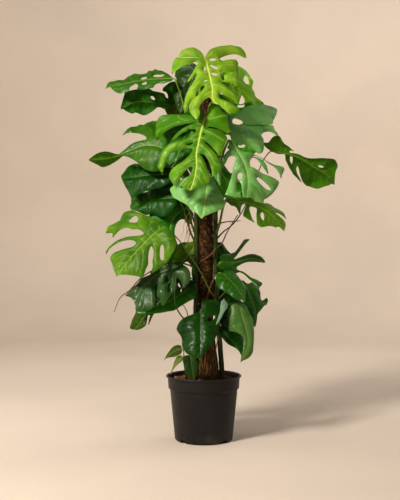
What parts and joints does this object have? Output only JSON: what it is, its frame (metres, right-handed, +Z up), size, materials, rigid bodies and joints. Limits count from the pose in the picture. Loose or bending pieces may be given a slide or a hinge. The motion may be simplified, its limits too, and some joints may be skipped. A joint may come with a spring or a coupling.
{
  "type": "potted swiss cheese plant",
  "caption": "Climbing aroid with large split and holed leaves on a coir pole, standing in a plain black nursery pot.",
  "frame": {"origin": "centre of the pot's flat bottom, on the floor", "axes": "+Z up, +Y away from the viewer who faces the plant's front, +X to that viewer's right"},
  "size_m": [0.9049, 0.5438, 1.4134],
  "materials": {
    "pot_plastic": "satin",
    "soil": "matte",
    "pole_wood": "matte",
    "coir": "matte",
    "stem": "satin",
    "root": "matte",
    "leaf_light": "satin",
    "leaf_mid": "satin",
    "leaf_dark": "satin"
  },
  "bodies": {
    "root": {"pot": "pot_plastic", "soil": "soil", "pole_core": "pole_wood", "pole_coir": "coir", "stem_left": "stem", "stem_right": "stem", "stem_back": "stem", "offshoot": "stem", "root_clasp_upper": "root", "root_clasp_middle": "root", "root_clasp_low": "root", "root_clasp_left": "root", "root_hanging_left": "root", "root_right_upper": "root", "root_right_lower": "root", "leaf_01_top_front": "leaf_light", "leaf_02_top_left_behind": "leaf_mid", "leaf_03_top_right_behind": "leaf_mid", "leaf_04_second_front": "leaf_light", "leaf_05_centre_pointed": "leaf_mid", "leaf_06_right_upper": "leaf_dark", "leaf_07_right_centre": "leaf_dark", "leaf_08_far_right": "leaf_mid", "leaf_09_left_upper": "leaf_dark", "leaf_10_left_upper_dark": "leaf_dark", "leaf_11_left_middle": "leaf_mid", "leaf_12_far_left": "leaf_dark", "leaf_13_left_dark": "leaf_dark", "leaf_14_left_dark_low": "leaf_dark", "leaf_15_left_bright": "leaf_light", "leaf_16_left_grey": "leaf_dark", "leaf_17_left_low": "leaf_mid", "leaf_18_left_low_tip": "leaf_dark", "leaf_19_right_low_under": "leaf_mid", "leaf_20_right_fingers": "leaf_light", "leaf_21_right_glossy": "leaf_mid", "leaf_22_right_dark": "leaf_dark", "leaf_23_right_hanging": "leaf_dark", "leaf_24_right_low_dark": "leaf_dark", "leaf_25_bottom_front": "leaf_mid", "leaf_26_right_narrow": "leaf_mid", "leaf_27_small_upper": "leaf_light", "leaf_28_small_middle": "leaf_light", "leaf_29_small_front": "leaf_light", "leaf_30_inner_left": "leaf_dark", "leaf_31_inner_left_low": "leaf_dark", "leaf_32_inner_right": "leaf_dark", "leaf_33_inner_upper_left": "leaf_dark", "leaf_34_inner_right": "leaf_dark", "leaf_35_inner_right_low": "leaf_dark", "leaf_43_inner_upper_right": "leaf_mid", "leaf_44_inner_left_middle": "leaf_mid", "leaf_45_inner_left_low": "leaf_mid", "leaf_36_back_upper": "leaf_dark", "leaf_37_back_middle": "leaf_dark", "leaf_38_back_left": "leaf_dark", "leaf_39_back_low": "leaf_dark", "leaf_40_back_top": "leaf_dark", "leaf_41_back_side": "leaf_dark", "leaf_42_back_left_low": "leaf_dark"}
  },
  "joints": []
}
